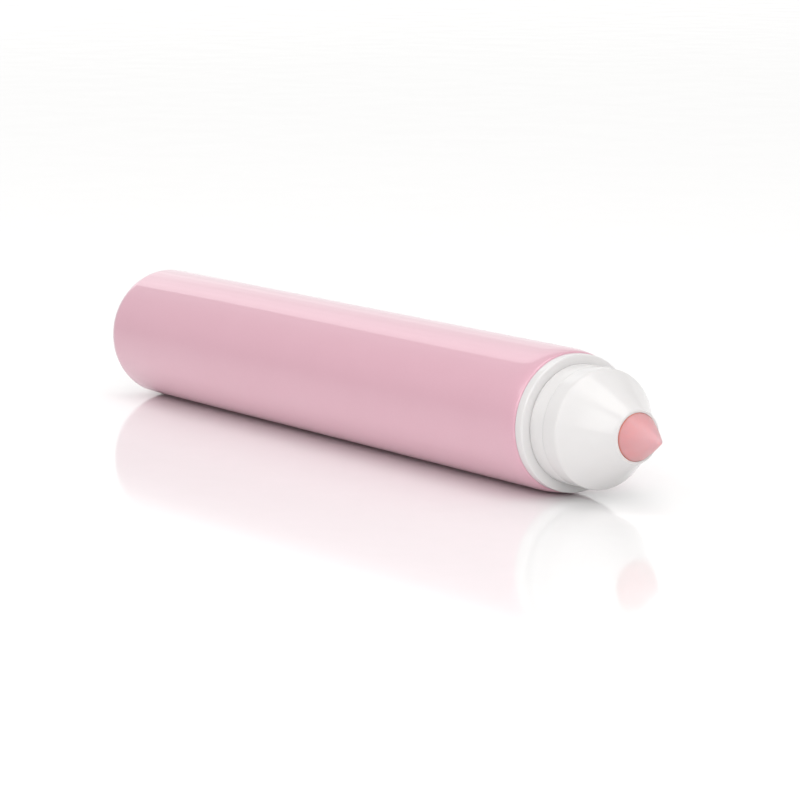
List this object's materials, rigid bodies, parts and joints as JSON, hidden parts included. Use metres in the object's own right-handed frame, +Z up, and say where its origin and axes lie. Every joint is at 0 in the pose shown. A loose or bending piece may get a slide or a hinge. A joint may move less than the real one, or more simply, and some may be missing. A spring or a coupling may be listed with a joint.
{
  "type": "mascara tube",
  "caption": "Slim round mascara tube lying on its side: pearl barrel, white collar and a conical screw cap with a pointed pink tip, carrying a stem and brush.",
  "frame": {"origin": "on the surface the tube lies on, under the middle of its length", "axes": "+X along the tube from its base towards the tip, +Z up from the surface, +Y across"},
  "size_m": [0.1224, 0.019, 0.019],
  "materials": {
    "barrel": "pearl lacquer, glossy clear coat",
    "base_label": "matt film, blank",
    "base_weight": "turned, bare",
    "base_pad": "closed-cell foam",
    "vial_spacer": "natural polypropylene",
    "vial": "natural polypropylene, translucent",
    "wiper": "soft polyethylene",
    "collar": "moulded, semi-gloss white",
    "seal_washer": "soft sealing ring",
    "cap_base": "moulded, semi-gloss white",
    "cap_shell": "moulded, semi-gloss white",
    "tip_insert": "satin, slightly translucent salmon pink",
    "stem": "moulded, satin black",
    "brush_core": "twisted wire",
    "bristles": "nylon filament"
  },
  "bodies": {
    "tube": {"barrel": "barrel", "base_label": "base_label", "base_weight": "base_weight", "base_pad": "base_pad", "vial_spacer": "vial_spacer", "vial": "vial", "wiper": "wiper", "collar": "collar"},
    "washer": {"seal_washer": "seal_washer"},
    "cap_carrier": {"tip_insert": "tip_insert"},
    "cap": {"cap_base": "cap_base", "cap_shell": "cap_shell", "stem": "stem", "brush_core": "brush_core", "bristles": "bristles"}
  },
  "joints": [
    {"name": "wand_pull", "type": "slide", "parent": "tube", "child": "washer", "axis": [1, 0, 0], "range_m": [0, 0.09], "deforming": ["bristles"]},
    {"name": "cap_rise", "type": "slide", "parent": "washer", "child": "cap_carrier", "axis": [1, 0, 0], "range_m": [0, 0.00313]},
    {"name": "cap_turn", "type": "hinge", "parent": "cap_carrier", "child": "cap", "pos_m": [0, 0, 0.0095], "axis": [1, 0, 0], "range_deg": [0, 450]}
  ],
  "couplings": [
    {"joint": "cap_turn", "follows": "cap_rise", "rad_per_m": 2513.2}
  ]
}
